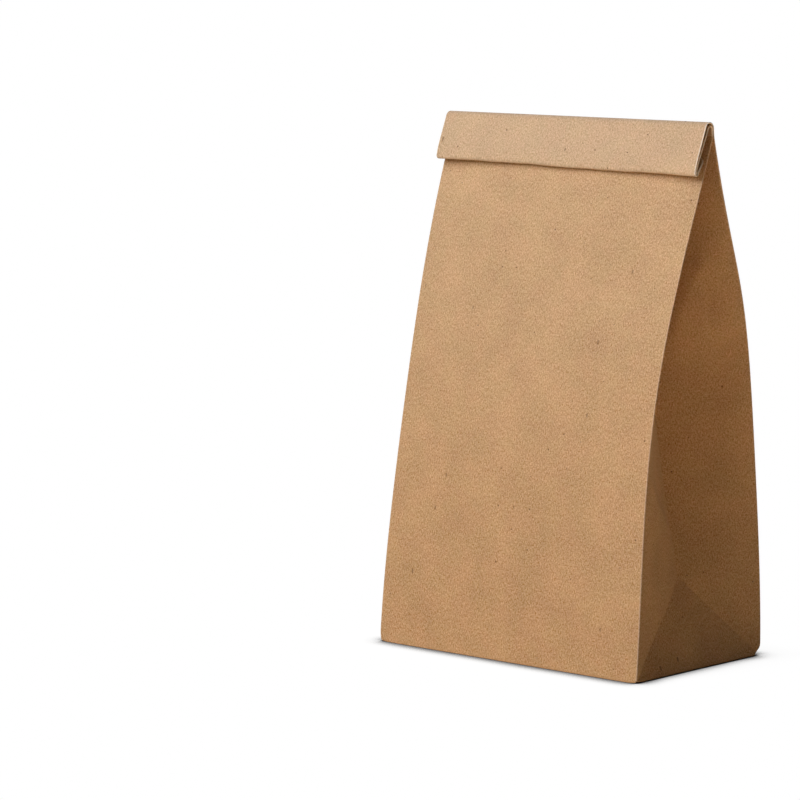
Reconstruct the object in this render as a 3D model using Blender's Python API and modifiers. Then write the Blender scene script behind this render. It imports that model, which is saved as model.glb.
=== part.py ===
"""Brown paper lunch bag, standing square on its base and rolled shut at the mouth.

The bag is one sheet of kraft paper: a tube with a front panel, a back panel and two side
gussets, pasted shut below by two folded flaps and rolled over twice at the mouth. The sheet
is built as its middle surface, a grid with rows that climb the tube and columns that run
round it, and is then given the paper's thickness. Only the half at +X is built, and the
other mirrors it.

Frame: X across the front panel, +X to its right, Y from front to back, +Z up. The origin is
the centre of the base, on the surface that the bag stands on. Lengths are in metres.
"""

import math

import bmesh
import bpy
import numpy as np
from mathutils import Vector
from mathutils.geometry import delaunay_2d_cdt

MM = 0.001

# The flat bag.
PANEL_WIDTH = 152.0 * MM
GUSSET_DEPTH = 91.0 * MM
PAPER = 0.24 * MM

# In the closed neck and in the roll four plies lie on each other, with this room between.
PLY_GAP = 0.21 * MM
PLIES = 4
PLY_PITCH = PAPER + PLY_GAP
STACK = (PLIES - 1) * PLY_PITCH + PAPER
CLOSED_HALF_DEPTH = (PLIES - 1) / 2.0 * PLY_PITCH

# The neck is where the front and back panels meet, a little behind the base's centre.
NECK_HEIGHT = 238.0 * MM
NECK_BACK_SET = 5.7 * MM

# Each panel climbs from the base to the neck on one Bezier curve. Lean is towards the back.
FRONT_FOOT_LEAN = math.radians(4.3)
FRONT_FOOT_HANDLE = 115.7 * MM
FRONT_NECK_LEAN = math.radians(20.1)
FRONT_NECK_HANDLE = 83.7 * MM
BACK_FOOT_LEAN = math.radians(0.0)
BACK_FOOT_HANDLE = 182.0 * MM
BACK_NECK_LEAN = math.radians(-14.4)
BACK_NECK_HANDLE = 82.8 * MM

# At half height the side creases draw in and the front and back panels bow out.
WAIST_DRAW = 3.1 * MM
PANEL_BOW = 3.0 * MM

# The slanting creases of a gusset meet its middle crease at this height of paper.
APEX_HEIGHT = 42.5 * MM

# The roll: a short neck, the top fold, the flap in front, the lower fold and the tuck,
# which climbs between flap and neck and holds the mouth's cut edge. A fold is sized by the
# room inside it, and its radius is taken at the middle of the stack of plies.
NECK_TILT = math.radians(5.0)
NECK_RISE = 3.7 * MM
TOP_FOLD_ROOM = 1.6 * MM
TOP_FOLD_RADIUS = TOP_FOLD_ROOM + STACK / 2.0
FLAP_LENGTH = 19.0 * MM
FLAP_LEAN = math.radians(24.3)
LOWER_FOLD_ROOM = 0.7 * MM
LOWER_FOLD_RADIUS = LOWER_FOLD_ROOM + STACK / 2.0
TUCK_LENGTH = 12.0 * MM
TUCK_LEAN = math.radians(28.0)
TUCK_BEND_RADIUS = 6.0 * MM
TUCK_END = 3.0 * MM

# Base: the front flap is pasted over the back flap, and both over the gussets' ends. Each
# cut edge is a step of one ply.
FLAP_OVERLAP = 8.0 * MM
FLAP_STEP = PAPER
STEP_WIDTH = 0.4 * MM
FLAT_MARGIN = 3.0 * MM

# How finely the sheet is divided.
FRONT_COLUMNS = 3
CORNER_COLUMNS = 3
GUSSET_COLUMNS = 5
CREASE_COLUMNS = 2
BODY_ROWS = 13
BODY_ROW_POWER = 0.85
TOP_FOLD_ROWS = 6
FLAP_ROWS = 3
LOWER_FOLD_ROWS = 6
TUCK_ROWS = 2
TUCK_BEND_ROWS = 3
CURVE_SAMPLES = 400
ANGLE_SAMPLES = 400

# Paper that each fold takes: half a turn about the tightest radius at a side crease, and a
# quarter turn at either side of a gusset's middle crease.
FOLD_RADIUS = PLY_PITCH / 2.0
CORNER_PAPER = math.pi * FOLD_RADIUS
CREASE_PAPER = math.pi / 2.0 * FOLD_RADIUS

MERGE_DISTANCE = 0.00005
FLAT_LEAN = 1e-6
OUTLINE_TOLERANCE = 1e-9

BAG_NAME = "paper_bag"
COLLECTION_NAME = "Brown paper lunch bag"
KRAFT_COLOUR = (0.52, 0.33, 0.18, 1.0)
KRAFT_ROUGHNESS = 0.9


def clear_scene():
    """Remove every object of the scene."""
    for old in list(bpy.data.objects):
        bpy.data.objects.remove(old, do_unlink=True)


def smooth_hill(share):
    """Rise from 0 to 1 at half way and fall back to 0, level at both ends."""
    return math.sin(math.pi * min(max(share, 0.0), 1.0)) ** 2


class SideCurve:
    """One panel seen from the side: a cubic Bezier curve read by its length."""

    def __init__(self, foot, neck, foot_lean, foot_handle, neck_lean, neck_handle):
        rise = foot + foot_handle * np.array([math.sin(foot_lean), math.cos(foot_lean)])
        close = neck - neck_handle * np.array([math.sin(neck_lean), math.cos(neck_lean)])
        t = np.linspace(0.0, 1.0, CURVE_SAMPLES)[:, None]
        self.points = (
            (1.0 - t) ** 3 * foot
            + 3.0 * (1.0 - t) ** 2 * t * rise
            + 3.0 * (1.0 - t) * t**2 * close
            + t**3 * neck
        )
        steps = np.hypot(*np.diff(self.points, axis=0).T)
        self.lengths = np.concatenate([[0.0], np.cumsum(steps)])

    def at_share(self, share):
        """Give the (y, z) point at a share of the curve's length."""
        length = share * self.lengths[-1]
        return np.array([np.interp(length, self.lengths, self.points[:, k]) for k in (0, 1)])


class GussetSection:
    """How far a gusset folds in, for a given half depth of the tube.

    Each half of the gusset is a straight run between a fold at the panel and the middle
    crease. The run's lean is 0 where the gusset is flat and a quarter turn where the tube is
    pressed shut, and the folds tighten with it.
    """

    def __init__(self):
        self.run = GUSSET_DEPTH / 2.0 - CREASE_PAPER - 2.0 * CORNER_PAPER / math.pi
        self.leans = np.linspace(0.0, math.pi / 2.0, ANGLE_SAMPLES)
        self.half_depths = np.array([self.half_depth(lean) for lean in self.leans])

    def corner_radius(self, lean):
        """Radius of the fold between a panel and the gusset."""
        return CORNER_PAPER / (math.pi / 2.0 + lean)

    def crease_arc(self, lean, share=1.0):
        """Depth and inset of the fold beside the middle crease, at a share of its paper."""
        if lean < FLAT_LEAN:
            return CREASE_PAPER * share, 0.0
        radius = CREASE_PAPER / lean
        return radius * math.sin(lean * share), radius * (1.0 - math.cos(lean * share))

    def half_depth(self, lean):
        """Half the tube's depth when the gusset's halves have this lean."""
        corner = self.corner_radius(lean) * (1.0 + math.sin(lean))
        return corner + self.crease_arc(lean)[0] + self.run * math.cos(lean)

    def lean_at(self, half_depth):
        """Lean of the gusset's halves for this half depth."""
        return float(np.interp(-half_depth, -self.half_depths, self.leans))

    def points(self, half_width, half_depth):
        """Corner fold, run ends and middle crease as (x, w) points from front to centre.

        w is 0 at the middle crease and minus the half depth at the front panel.
        """
        lean = self.lean_at(half_depth)
        radius = self.corner_radius(lean)
        turn = math.pi / 2.0 + lean
        corner = []
        for k in range(CORNER_COLUMNS + 1):
            angle = turn * k / CORNER_COLUMNS
            corner.append((
                half_width - radius + radius * math.sin(angle),
                -half_depth + radius - radius * math.cos(angle),
            ))
        depth, inset = self.crease_arc(lean)
        crease_x = corner[-1][0] - self.run * math.sin(lean) - inset
        crease = []
        for k in range(CREASE_COLUMNS, -1, -1):
            part_depth, part_inset = self.crease_arc(lean, k / CREASE_COLUMNS)
            crease.append((crease_x + part_inset, -part_depth))
        return corner, crease


def turn_about(centre, radius, start, turn, rows):
    """Rows round a fold: (centre line point, direction across the plies) pairs."""
    found = []
    for k in range(1, rows + 1):
        angle = start + turn * k / rows
        across = np.array([math.cos(angle), math.sin(angle)])
        found.append((centre + radius * across, across))
    return found


def roll_rows():
    """Centre line of the closed neck and the roll, from the neck to the mouth.

    The plies turn the same way throughout: forward over the top, then under and up inside.
    Directions are angles from +Y towards +Z, across the plies from front to back.
    """
    neck = np.array([NECK_BACK_SET, NECK_HEIGHT])
    across = np.array([math.cos(NECK_TILT), math.sin(NECK_TILT)])
    along = np.array([-math.sin(NECK_TILT), math.cos(NECK_TILT)])
    fold_start = neck + NECK_RISE * along
    rows = [(neck, across), (fold_start, across)]

    top_centre = fold_start - TOP_FOLD_RADIUS * across
    lower_centre = top_centre - FLAP_LENGTH * np.array([math.sin(FLAP_LEAN), math.cos(FLAP_LEAN)])
    flap_lean = FLAP_LEAN - math.asin((TOP_FOLD_RADIUS - LOWER_FOLD_RADIUS) / FLAP_LENGTH)
    flap_angle = math.pi - flap_lean
    rows += turn_about(top_centre, TOP_FOLD_RADIUS, NECK_TILT, flap_angle - NECK_TILT, TOP_FOLD_ROWS)

    flap_across = np.array([math.cos(flap_angle), math.sin(flap_angle)])
    flap_top = top_centre + TOP_FOLD_RADIUS * flap_across
    flap_foot = lower_centre + LOWER_FOLD_RADIUS * flap_across
    for k in range(1, FLAP_ROWS + 1):
        rows.append((flap_top + (flap_foot - flap_top) * k / FLAP_ROWS, flap_across))

    tuck_angle = 2.0 * math.pi - TUCK_LEAN
    rows += turn_about(
        lower_centre, LOWER_FOLD_RADIUS, flap_angle, tuck_angle - flap_angle, LOWER_FOLD_ROWS
    )
    tuck_across = rows[-1][1]
    tuck_along = np.array([math.sin(TUCK_LEAN), math.cos(TUCK_LEAN)])
    tuck_foot = rows[-1][0]
    for k in range(1, TUCK_ROWS + 1):
        rows.append((tuck_foot + TUCK_LENGTH * k / TUCK_ROWS * tuck_along, tuck_across))
    bend_centre = rows[-1][0] - TUCK_BEND_RADIUS * tuck_across
    rows += turn_about(
        bend_centre, TUCK_BEND_RADIUS, tuck_angle, TUCK_LEAN + NECK_TILT, TUCK_BEND_ROWS
    )
    rows.append((rows[-1][0] + TUCK_END * along, rows[-1][1]))
    return rows


def tube_rows():
    """Every row of the tube: centre, direction across it, half depth and half width.

    Returns the rows and the paper height of each row of the body.
    """
    roll = roll_rows()
    neck, across = roll[0]
    front = SideCurve(
        np.array([-GUSSET_DEPTH / 2.0, 0.0]), neck - CLOSED_HALF_DEPTH * across,
        FRONT_FOOT_LEAN, FRONT_FOOT_HANDLE, FRONT_NECK_LEAN, FRONT_NECK_HANDLE,
    )
    back = SideCurve(
        np.array([GUSSET_DEPTH / 2.0, 0.0]), neck + CLOSED_HALF_DEPTH * across,
        BACK_FOOT_LEAN, BACK_FOOT_HANDLE, BACK_NECK_LEAN, BACK_NECK_HANDLE,
    )
    length = (front.lengths[-1] + back.lengths[-1]) / 2.0
    papers = [APEX_HEIGHT * k / GUSSET_COLUMNS for k in range(GUSSET_COLUMNS + 1)]
    for k in range(1, BODY_ROWS):
        share = (k / BODY_ROWS) ** BODY_ROW_POWER
        papers.append(APEX_HEIGHT + (length - APEX_HEIGHT) * share)
    rows = []
    for paper in papers:
        low = front.at_share(paper / length)
        high = back.at_share(paper / length)
        centre = (low + high) / 2.0
        depth = float(np.hypot(*(high - low)))
        hill = smooth_hill(centre[1] / NECK_HEIGHT)
        rows.append((
            centre, (high - low) / depth, depth / 2.0,
            PANEL_WIDTH / 2.0 - WAIST_DRAW * hill, PANEL_BOW * hill,
        ))
    for centre, direction in roll:
        rows.append((centre, direction, CLOSED_HALF_DEPTH, PANEL_WIDTH / 2.0, 0.0))
    papers.append(length)
    return rows, papers


def base_height(y):
    """Height of the sheet's middle along the base's edge: the back flap lies a step higher."""
    share = min(max(y / GUSSET_DEPTH + 0.5, 0.0), 1.0)
    return PAPER / 2.0 + FLAP_STEP * share


def place(centre, direction, x, w):
    """Point at x across the bag and w along the row's direction from its centre."""
    y, z = centre + w * direction
    return np.array([x, y, z])


def row_keys(row, section):
    """Panel centre, corner fold and crease points of a row, for the front and the back."""
    centre, direction, half_depth, half_width, bow = row
    corner, crease = section.points(half_width, half_depth)
    sides = []
    for sign in (1.0, -1.0):
        panel = []
        for k in range(FRONT_COLUMNS):
            share = k / FRONT_COLUMNS
            w = -half_depth - bow * (1.0 - share**2)
            panel.append(place(centre, direction, corner[0][0] * share, sign * w))
        folds = [place(centre, direction, x, sign * w) for x, w in corner]
        middle = [place(centre, direction, x, sign * w) for x, w in crease]
        sides.append((panel, folds, middle))
    return sides


def settle_creases(keys, papers):
    """Lower the middle crease where the gusset leans in, so that its paper isn't stretched.

    The crease is as long as the panels' paper. What is left over at the neck is shared out
    along it, so that it meets the closed plies level with them.
    """
    heights = [0.0]
    for k in range(1, len(papers)):
        if k < GUSSET_COLUMNS:
            heights.append(0.0)
            continue
        start = 0 if k == GUSSET_COLUMNS else k - 1
        run = keys[k][0][2][-1] - keys[start][0][2][-1]
        paper = papers[k] - papers[start]
        heights.append(heights[start] + math.sqrt(max(paper**2 - run[0] ** 2 - run[1] ** 2, 0.0)))
    left_over = keys[len(papers) - 1][0][2][-1][2] - heights[-1]
    for k in range(GUSSET_COLUMNS, len(papers)):
        share = (papers[k] - papers[GUSSET_COLUMNS]) / (papers[-1] - papers[GUSSET_COLUMNS])
        drop = keys[k][0][2][-1][2] - heights[k] - left_over * share
        for panel, folds, middle in keys[k]:
            for point in middle:
                point[2] -= drop


def gusset_run(k, folds, middle, first_fold, apex):
    """Points of a gusset half between its fold and its middle crease, on row k.

    Above the apex the half is straight. Below it the sheet breaks at the slanting crease,
    which climbs one column for each row.
    """
    start, end = folds[-1], middle[0]
    points = []
    for j in range(1, GUSSET_COLUMNS):
        if k >= GUSSET_COLUMNS:
            points.append(start + (end - start) * j / GUSSET_COLUMNS)
            continue
        slant = first_fold + (apex - first_fold) * k / GUSSET_COLUMNS
        if j <= k:
            points.append(start + (slant - start) * j / k)
        else:
            points.append(slant + (end - slant) * (j - k) / (GUSSET_COLUMNS - k))
    return points


def sheet_grid():
    """Grid of points of the sheet at +X: rows up the tube, columns from front to back."""
    section = GussetSection()
    rows, papers = tube_rows()
    keys = [row_keys(row, section) for row in rows]
    for panel, folds, middle in keys[0]:
        for point in panel + folds + middle:
            point[2] = base_height(point[1])
    settle_creases(keys, papers)
    for k in range(1, GUSSET_COLUMNS):
        for side in (0, 1):
            foot = keys[0][side][2]
            apex = keys[GUSSET_COLUMNS][side][2]
            for point, low, high in zip(keys[k][side][2], foot, apex):
                point[:] = low + (high - low) * k / GUSSET_COLUMNS
    grid = []
    for k, sides in enumerate(keys):
        halves = []
        for side, (panel, folds, middle) in enumerate(sides):
            first_fold = keys[0][side][1][-1]
            apex = keys[GUSSET_COLUMNS][side][2][0]
            halves.append(panel + folds + gusset_run(k, folds, middle, first_fold, apex) + middle)
        grid.append(halves[0] + halves[1][-2::-1])
    return np.array(grid)


def add_tube(mesh, grid):
    """Add the tube's faces. Below the apex each cell is cut along the slanting creases."""
    points = [[mesh.verts.new(point) for point in row] for row in grid]
    fold_end = FRONT_COLUMNS + CORNER_COLUMNS
    last = len(grid[0]) - 1
    for k in range(len(grid) - 1):
        for j in range(last):
            low, low_next = points[k][j], points[k][j + 1]
            high, high_next = points[k + 1][j], points[k + 1][j + 1]
            if j < last // 2:
                mesh.faces.new((low, low_next, high_next))
                mesh.faces.new((low, high_next, high))
            else:
                mesh.faces.new((low, low_next, high))
                mesh.faces.new((low_next, high_next, high))
    return points[0], points[0][fold_end], points[0][last - fold_end]


def add_base(mesh, rim, front_fold, back_fold):
    """Close the tube's foot with the pasted flaps, in relief by a ply at each edge.

    The front flap lies lowest. Its cut edge runs across the bag past the middle of the base,
    and its ends slant to the corners over the back flap and the gussets' folded ends.
    """
    reach = PANEL_WIDTH / 2.0 - GUSSET_DEPTH / 2.0
    wide = STEP_WIDTH * math.sqrt(2.0)
    low = PAPER / 2.0
    inner = {
        "front_tip": (reach, 0.0, low),
        "front_edge": (reach - FLAP_OVERLAP, FLAP_OVERLAP, low),
        "front_edge_middle": (0.0, FLAP_OVERLAP, low),
        "back_tip": (reach + wide, 0.0, low + FLAP_STEP),
        "back_edge": (reach - FLAP_OVERLAP, FLAP_OVERLAP + wide, low + FLAP_STEP),
        "back_edge_middle": (0.0, FLAP_OVERLAP + wide, low + FLAP_STEP),
        "end_tip": (reach + 2.0 * wide, 0.0, low + 2.0 * FLAP_STEP),
        "flat_middle_front": (0.0, FLAT_MARGIN - GUSSET_DEPTH / 2.0, low),
        "flat_front": (reach - FLAT_MARGIN, FLAT_MARGIN - GUSSET_DEPTH / 2.0, low),
        "flat_back": (reach - FLAP_OVERLAP - FLAT_MARGIN, FLAP_OVERLAP - FLAT_MARGIN, low),
        "flat_middle_back": (0.0, FLAP_OVERLAP - FLAT_MARGIN, low),
    }
    names = list(inner)
    corners = list(rim) + [mesh.verts.new(inner[name]) for name in names]
    spot = {name: len(rim) + k for k, name in enumerate(names)}
    front = list(rim).index(front_fold)
    back = list(rim).index(back_fold)
    across_middle = [
        0, spot["flat_middle_front"], spot["flat_middle_back"],
        spot["front_edge_middle"], spot["back_edge_middle"], len(rim) - 1,
    ]
    outline = list(zip(range(len(rim) - 1), range(1, len(rim))))
    outline += list(zip(across_middle, across_middle[1:]))
    lines = [
        (front, "front_tip"), ("front_tip", "front_edge"), ("front_edge", "front_edge_middle"),
        ("back_tip", "back_edge"), ("back_edge", "back_edge_middle"), (back, "back_tip"),
        (front, "end_tip"), (back, "end_tip"),
        ("flat_middle_front", "flat_front"), ("flat_front", "flat_back"),
        ("flat_back", "flat_middle_back"),
    ]
    for start, end in lines:
        outline.append((spot.get(start, start), spot.get(end, end)))
    flat = [Vector((corner.co.x, corner.co.y)) for corner in corners]
    found = delaunay_2d_cdt(flat, outline, [], 1, OUTLINE_TOLERANCE)
    coords, faces, origins = found[0], found[2], found[3]
    if len(coords) != len(corners):
        raise ValueError("the base's fold lines cross each other")
    for face in faces:
        mesh.faces.new([corners[origins[k][0]] for k in reversed(face)])


def kraft_material():
    """Plain kraft paper."""
    material = bpy.data.materials.new("Kraft paper")
    material.use_nodes = True
    shader = material.node_tree.nodes["Principled BSDF"]
    shader.inputs["Base Color"].default_value = KRAFT_COLOUR
    shader.inputs["Roughness"].default_value = KRAFT_ROUGHNESS
    shader.inputs["Metallic"].default_value = 0.0
    return material


def make_bag(collection):
    """Make the bag as one object: half the sheet's middle, mirrored and given its paper."""
    mesh = bmesh.new()
    rim, front_fold, back_fold = add_tube(mesh, sheet_grid())
    add_base(mesh, rim, front_fold, back_fold)
    bmesh.ops.recalc_face_normals(mesh, faces=mesh.faces)
    data = bpy.data.meshes.new(BAG_NAME)
    mesh.to_mesh(data)
    mesh.free()
    data.materials.append(kraft_material())
    bag = bpy.data.objects.new(BAG_NAME, data)
    collection.objects.link(bag)

    mirror = bag.modifiers.new("Left half", "MIRROR")
    mirror.use_axis[0] = True
    mirror.use_clip = True
    mirror.merge_threshold = MERGE_DISTANCE
    wall = bag.modifiers.new("Paper", "SOLIDIFY")
    wall.thickness = PAPER
    wall.offset = 0.0
    wall.use_even_offset = True
    return bag


def main():
    """Build the bag in a collection of its own."""
    clear_scene()
    collection = bpy.data.collections.new(COLLECTION_NAME)
    bpy.context.scene.collection.children.link(collection)
    make_bag(collection)


main()
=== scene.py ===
"""Brown paper lunch bag: its looks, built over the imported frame.

The bag is one sheet of kraft paper: a tube with a front panel, a back panel and two side
gussets, pasted shut below and rolled over twice at the mouth. Lengths are in metres, in the
frame of the part: X across the front panel, Y from the front panel to the back panel, +Z up,
with the origin in the middle of the base.
"""

import logging
import math
from dataclasses import dataclass
from enum import Enum

import bpy
import numpy as np
from mathutils import Matrix, Vector


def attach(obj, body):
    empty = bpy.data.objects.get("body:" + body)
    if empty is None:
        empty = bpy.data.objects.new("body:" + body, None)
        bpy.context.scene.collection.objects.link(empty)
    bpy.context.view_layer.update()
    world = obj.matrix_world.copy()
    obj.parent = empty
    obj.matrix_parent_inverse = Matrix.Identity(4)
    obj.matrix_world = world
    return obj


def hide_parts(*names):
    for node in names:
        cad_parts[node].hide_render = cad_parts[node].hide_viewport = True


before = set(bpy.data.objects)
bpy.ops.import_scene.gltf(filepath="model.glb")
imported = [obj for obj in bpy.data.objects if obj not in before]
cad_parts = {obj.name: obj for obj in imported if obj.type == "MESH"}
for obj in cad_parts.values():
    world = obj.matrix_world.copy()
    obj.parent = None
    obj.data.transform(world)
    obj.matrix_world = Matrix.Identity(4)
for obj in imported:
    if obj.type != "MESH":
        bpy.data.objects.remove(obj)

LOG = logging.getLogger("paper_lunch_bag")

MM = 0.001
NODE = "paper_bag"
BODY = "root"
UV_MAP = "Paper"
# Crease attribute: rubbing on the side creases plus a painted highlight along their edges.
CREASE_WEAR_AND_HIGHLIGHT = "Crease wear and highlight"
# Face attribute: rubbing along the roll's folds plus a painted sheen on the flap.
FACE_WEAR_AND_SHEEN = "Face wear and sheen"

Pair = tuple[float, float]
Triple = tuple[float, float, float]


def smooth(low: float, high: float, value: np.ndarray) -> np.ndarray:
    """Climb smoothly from 0 at low to 1 at high, by 3 t squared minus 2 t cubed.

    Args:
        low: Where the climb starts.
        high: Where it ends.
        value: The values to place on it.

    Returns:
        The climb at each value.
    """
    t = np.clip((value - low) / (high - low), 0.0, 1.0)
    return t * t * (3.0 - 2.0 * t)


def normals(grid: np.ndarray) -> np.ndarray:
    """Outward directions of a tube's grid: the steps round it crossed with the steps up it.

    Args:
        grid: The (rows, columns, 3) points, whose columns run once round the tube.

    Returns:
        The (rows, columns, 3) unit directions.
    """
    around = np.roll(grid, -1, axis=1) - np.roll(grid, 1, axis=1)
    normal = np.cross(around, np.gradient(grid, axis=0))
    return normal / np.maximum(np.linalg.norm(normal, axis=-1, keepdims=True), 1e-12)


@dataclass(frozen=True)
class FlatBag:
    """The bag laid flat, before it is opened: its widths and its paper."""

    panel_width: float = 152.0 * MM
    gusset_depth: float = 91.0 * MM
    paper: float = 0.14 * MM
    ply_pitch: float = 0.45 * MM

    @property
    def half_width(self) -> float:
        """Half the width of the front panel."""
        return self.panel_width / 2.0

    @property
    def half_depth(self) -> float:
        """Half the depth of a gusset."""
        return self.gusset_depth / 2.0

    @property
    def fold_radius(self) -> float:
        """Radius of a side crease where the tube is pressed shut."""
        return self.ply_pitch / 2.0

    @property
    def closed_half_depth(self) -> float:
        """Half the depth of four plies pressed together, middle to middle."""
        return 1.5 * self.ply_pitch


@dataclass(frozen=True)
class PanelCurve:
    """One panel seen from the side, as a cubic Bezier curve in (y, z)."""

    foot: Pair
    neck: Pair
    foot_lean: float
    foot_handle: float
    neck_lean: float
    neck_handle: float

    def sample(self, count: int = 800) -> tuple[np.ndarray, np.ndarray]:
        """Points of the curve and their lengths from the foot.

        The point at t is (1-t)^3 foot + 3 (1-t)^2 t rise + 3 (1-t) t^2 close + t^3 neck, where
        rise and close lie one handle along each end's lean.

        Args:
            count: How many points to take.

        Returns:
            The (count, 2) points and the (count,) lengths.
        """
        foot = np.array(self.foot)
        neck = np.array(self.neck)
        rise = foot + self.foot_handle * np.array(
            [math.sin(self.foot_lean), math.cos(self.foot_lean)]
        )
        close = neck - self.neck_handle * np.array(
            [math.sin(self.neck_lean), math.cos(self.neck_lean)]
        )
        t = np.linspace(0.0, 1.0, count)[:, None]
        points = (
            (1.0 - t) ** 3 * foot
            + 3.0 * (1.0 - t) ** 2 * t * rise
            + 3.0 * (1.0 - t) * t**2 * close
            + t**3 * neck
        )
        steps = np.hypot(*np.diff(points, axis=0).T)
        return points, np.concatenate([[0.0], np.cumsum(steps)])


@dataclass(frozen=True)
class GussetFold:
    """How a gusset folds in for a given half depth of the tube.

    Each half of the gusset is a straight run between the fold at the panel and the middle
    crease. Its lean is 0 where the gusset is flat and a quarter turn where the tube is shut.
    """

    bag: FlatBag

    @property
    def corner_paper(self) -> float:
        """Paper that the fold beside a panel takes: half a turn at its tightest."""
        return math.pi * self.bag.fold_radius

    @property
    def crease_paper(self) -> float:
        """Paper that each side of the middle crease takes: a quarter turn at its tightest."""
        return math.pi / 2.0 * self.bag.fold_radius

    @property
    def run(self) -> float:
        """Length of the straight run of half a gusset."""
        return self.bag.half_depth - self.crease_paper - 2.0 * self.corner_paper / math.pi

    def lean_at(self, half_depth: np.ndarray) -> np.ndarray:
        """Lean of the runs for these half depths.

        The half depth at a lean is corner (1 + sin lean) + crease sin(lean) / lean
        + run cos(lean), where corner is the corner's paper over a quarter turn plus the lean.

        Args:
            half_depth: Half the tube's depth, one for each row.

        Returns:
            The lean of each row, in radians.
        """
        leans = np.linspace(1e-6, math.pi / 2.0, 800)
        corner = self.corner_paper / (math.pi / 2.0 + leans)
        depths = (
            corner * (1.0 + np.sin(leans))
            + self.crease_paper * np.sin(leans) / leans
            + self.run * np.cos(leans)
        )
        return np.interp(-half_depth, -depths, leans)


@dataclass(frozen=True)
class SheetPlan:
    """How finely the sheet is divided."""

    panel: int = 33
    panel_edge: float = 0.3 * MM
    corner: int = 4
    run: int = 30
    crease: int = 3
    body: int = 76
    base_fold: int = 3
    base: int = 9
    overlap: int = 4
    neck: int = 2
    top_fold: int = 12
    flap: int = 9
    flap_ease: int = 5
    lower_fold: int = 9
    tuck: int = 5
    tuck_bend: int = 2
    tuck_end: int = 3
    seam: int = 4
    seam_start: int = 3
    seam_lift: float = 1.15


@dataclass(frozen=True)
class Stance:
    """How the opened bag stands: the curves of its panels and the folds of its base."""

    neck_height: float = 238.0 * MM
    neck_back_set: float = 5.7 * MM
    neck_tilt: float = math.radians(5.0)
    front_foot_lean: float = math.radians(4.3)
    front_foot_handle: float = 115.7 * MM
    front_neck_lean: float = math.radians(20.1)
    front_neck_handle: float = 83.7 * MM
    back_foot_lean: float = math.radians(0.0)
    back_foot_handle: float = 182.0 * MM
    back_neck_lean: float = math.radians(-14.4)
    back_neck_handle: float = 82.8 * MM
    waist_draw: float = 3.1 * MM
    panel_bow: float = 3.0 * MM
    apex_height: float = 42.5 * MM
    base_fold_radius: float = 0.4 * MM
    flap_overlap: float = 8.0 * MM
    front_scuff: float = 0.35 * MM
    back_scuff: float = 1.2 * MM
    scuff_reach: float = 2.8 * MM


@dataclass(frozen=True)
class RollSizes:
    """Sizes of the rolled mouth, along the middle of its four plies."""

    rise: float = 3.7 * MM
    rise_skew: float = 0.45 * MM
    top_radius: float = 2.4 * MM
    flap: float = 13.4 * MM
    flap_skew: float = 1.1 * MM
    flap_lean: float = math.radians(22.4)
    ease: float = 6.6 * MM
    ease_turn: float = math.radians(11.0)
    lower_radius: float = 0.8 * MM
    tuck: float = 8.4 * MM
    tuck_lean: float = math.radians(36.0)
    bend_radius: float = 6.0 * MM
    end: float = 6.0 * MM
    end_lean: float = math.radians(20.0)
    edge_wave: float = 0.16 * MM
    edge_waves: tuple[Triple, ...] = (
        (1.0, 71.0, 0.6), (0.6, 173.0, 2.0), (0.35, 391.0, 0.0),
    )
    parting: float = 1.1 * MM
    wrinkle: float = 0.35 * MM
    wrinkle_waves: Pair = (2.3 * MM, 1.3 * MM)
    wrinkle_start: Pair = (-12.0 * MM, 2.0 * MM)
    wrinkle_stop: Pair = (34.0 * MM, 44.0 * MM)
    wrinkle_bell: Pair = (1.2 * MM, 1.3 * MM)
    press: float = 0.5
    press_span: Pair = (1.0 * MM, 5.0 * MM)
    draw_in: float = 3.5 * MM
    draw_span: Pair = (9.0 * MM, 12.5 * MM)


class SheetPart(Enum):
    """A part of the sheet that carries fold marks, between two of its side creases."""

    RIGHT_GUSSET = "right gusset"
    LEFT_GUSSET = "left gusset"
    BACK = "back panel"


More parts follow.
